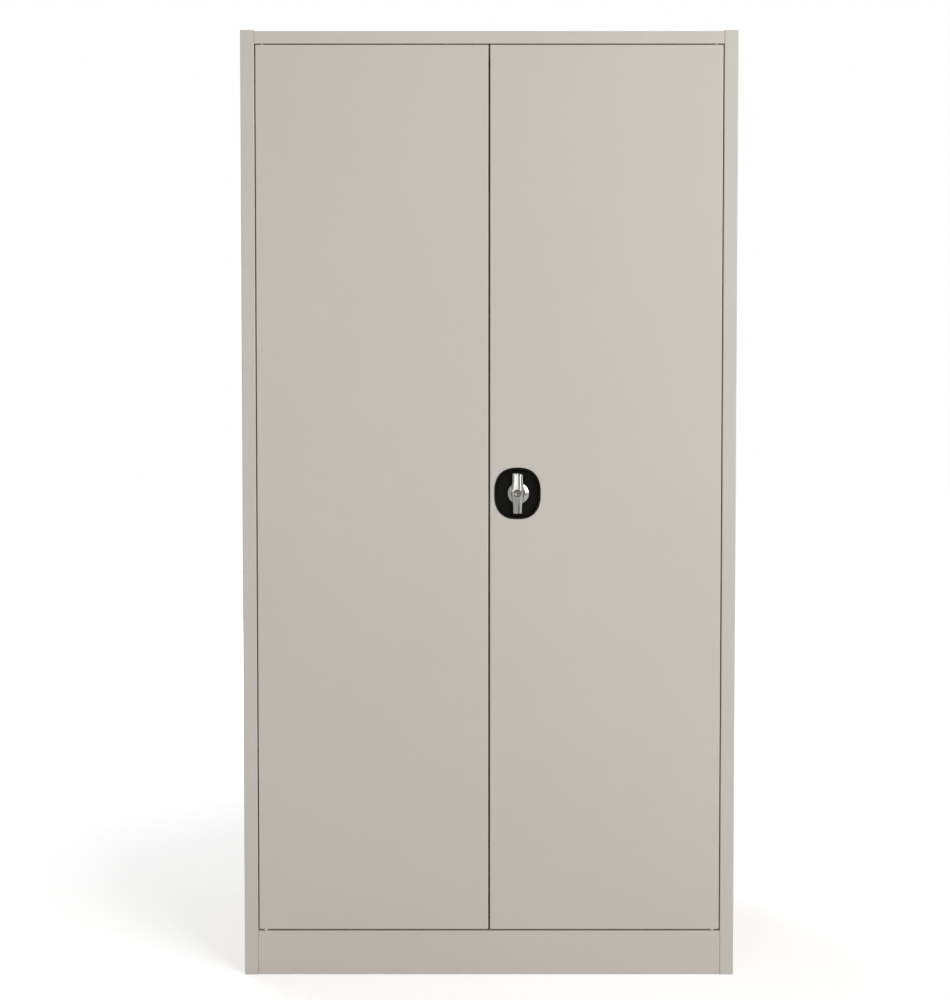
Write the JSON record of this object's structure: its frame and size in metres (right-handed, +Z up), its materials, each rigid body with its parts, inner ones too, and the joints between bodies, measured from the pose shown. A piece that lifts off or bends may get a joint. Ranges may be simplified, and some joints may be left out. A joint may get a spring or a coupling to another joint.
{
  "type": "metal wardrobe",
  "caption": "Two-door sheet-steel wardrobe in pale warm grey, with a hat shelf, shelves beside a hanging space, and a turning handle with locking rods.",
  "frame": {"origin": "middle of the footprint, on the floor", "axes": "+Z up, the doors face -Y, +X to the right of a person who faces the doors"},
  "size_m": [0.94, 0.5075, 1.8],
  "materials": {
    "powder_coat": "satin powder coat, pale warm grey",
    "zinc_steel": "bright zinc plating",
    "chrome": "polished chrome casting",
    "nickel": "satin nickel",
    "black_plastic": "fine textured black",
    "nylon": "natural moulded nylon",
    "rubber": "matt grey"
  },
  "bodies": {
    "cabinet": {"left_side_panel": "powder_coat", "right_side_panel": "powder_coat", "left_post_cap": "powder_coat", "right_post_cap": "powder_coat", "top_panel": "powder_coat", "floor_panel": "powder_coat", "plinth": "powder_coat", "left_back_panel": "powder_coat", "right_back_panel": "powder_coat", "hat_shelf": "powder_coat", "divider": "powder_coat", "lower_shelf": "powder_coat", "middle_shelf": "powder_coat", "upper_shelf": "powder_coat", "left_front_upright": "powder_coat", "left_rear_upright": "powder_coat", "right_front_upright": "powder_coat", "right_rear_upright": "powder_coat", "lower_left_front_shelf_clip": "zinc_steel", "lower_left_rear_shelf_clip": "zinc_steel", "lower_right_front_shelf_clip": "zinc_steel", "lower_right_rear_shelf_clip": "zinc_steel", "middle_left_front_shelf_clip": "zinc_steel", "middle_left_rear_shelf_clip": "zinc_steel", "middle_right_front_shelf_clip": "zinc_steel", "middle_right_rear_shelf_clip": "zinc_steel", "upper_left_front_shelf_clip": "zinc_steel", "upper_left_rear_shelf_clip": "zinc_steel", "upper_right_front_shelf_clip": "zinc_steel", "upper_right_rear_shelf_clip": "zinc_steel", "hanging_rail": "zinc_steel", "left_rail_socket": "zinc_steel", "right_rail_socket": "zinc_steel", "left_lower_hinge_pin": "zinc_steel", "right_lower_hinge_pin": "zinc_steel", "left_hinge_washer": "zinc_steel", "right_hinge_washer": "zinc_steel", "left_upper_bumper": "rubber", "left_lower_bumper": "rubber", "right_upper_bumper": "rubber", "right_lower_bumper": "rubber"},
    "left_door": {"left_door_panel": "powder_coat", "left_door_stiffener": "powder_coat", "left_upper_hinge_pin": "zinc_steel"},
    "right_door": {"right_door_panel": "powder_coat", "right_door_stiffener": "powder_coat", "right_upper_hinge_pin": "zinc_steel", "lock_dish": "black_plastic", "top_near_rod_guide": "nylon", "top_far_rod_guide": "nylon", "bottom_near_rod_guide": "nylon", "bottom_far_rod_guide": "nylon"},
    "handle_set": {"handle": "chrome", "handle_spindle": "zinc_steel", "lock_cam": "zinc_steel", "lock_tongue": "zinc_steel", "tongue_screw": "zinc_steel"},
    "key_cylinder": {"lock_cylinder": "nickel"},
    "upper_rod": {"top_rod": "zinc_steel"},
    "lower_rod": {"bottom_rod": "zinc_steel"}
  },
  "joints": [
    {"name": "left_door_hinge", "type": "hinge", "parent": "cabinet", "child": "left_door", "pos_m": [-0.4293, -0.2426, 0.088], "axis": [0, 0, -1], "range_deg": [0, 110]},
    {"name": "right_door_hinge", "type": "hinge", "parent": "cabinet", "child": "right_door", "pos_m": [0.4293, -0.2426, 0.088], "axis": [0, 0, 1], "range_deg": [0, 110]},
    {"name": "handle_turn", "type": "hinge", "parent": "right_door", "child": "handle_set", "pos_m": [0.054, -0.25, 0.9266], "axis": [0, 1, 0], "range_deg": [0, 90]},
    {"name": "key_turn", "type": "hinge", "parent": "handle_set", "child": "key_cylinder", "pos_m": [0.054, -0.25, 0.9266], "axis": [0, 1, 0], "range_deg": [0, 90]},
    {"name": "top_rod_slide", "type": "slide", "parent": "right_door", "child": "upper_rod", "axis": [0, 0, 1], "range_m": [0, 0.01838]},
    {"name": "bottom_rod_slide", "type": "slide", "parent": "right_door", "child": "lower_rod", "axis": [0, 0, -1], "range_m": [0, 0.01838]}
  ],
  "couplings": [
    {"joint": "top_rod_slide", "follows": "handle_turn", "m_per_rad": 0.011698},
    {"joint": "bottom_rod_slide", "follows": "handle_turn", "m_per_rad": 0.011698}
  ]
}
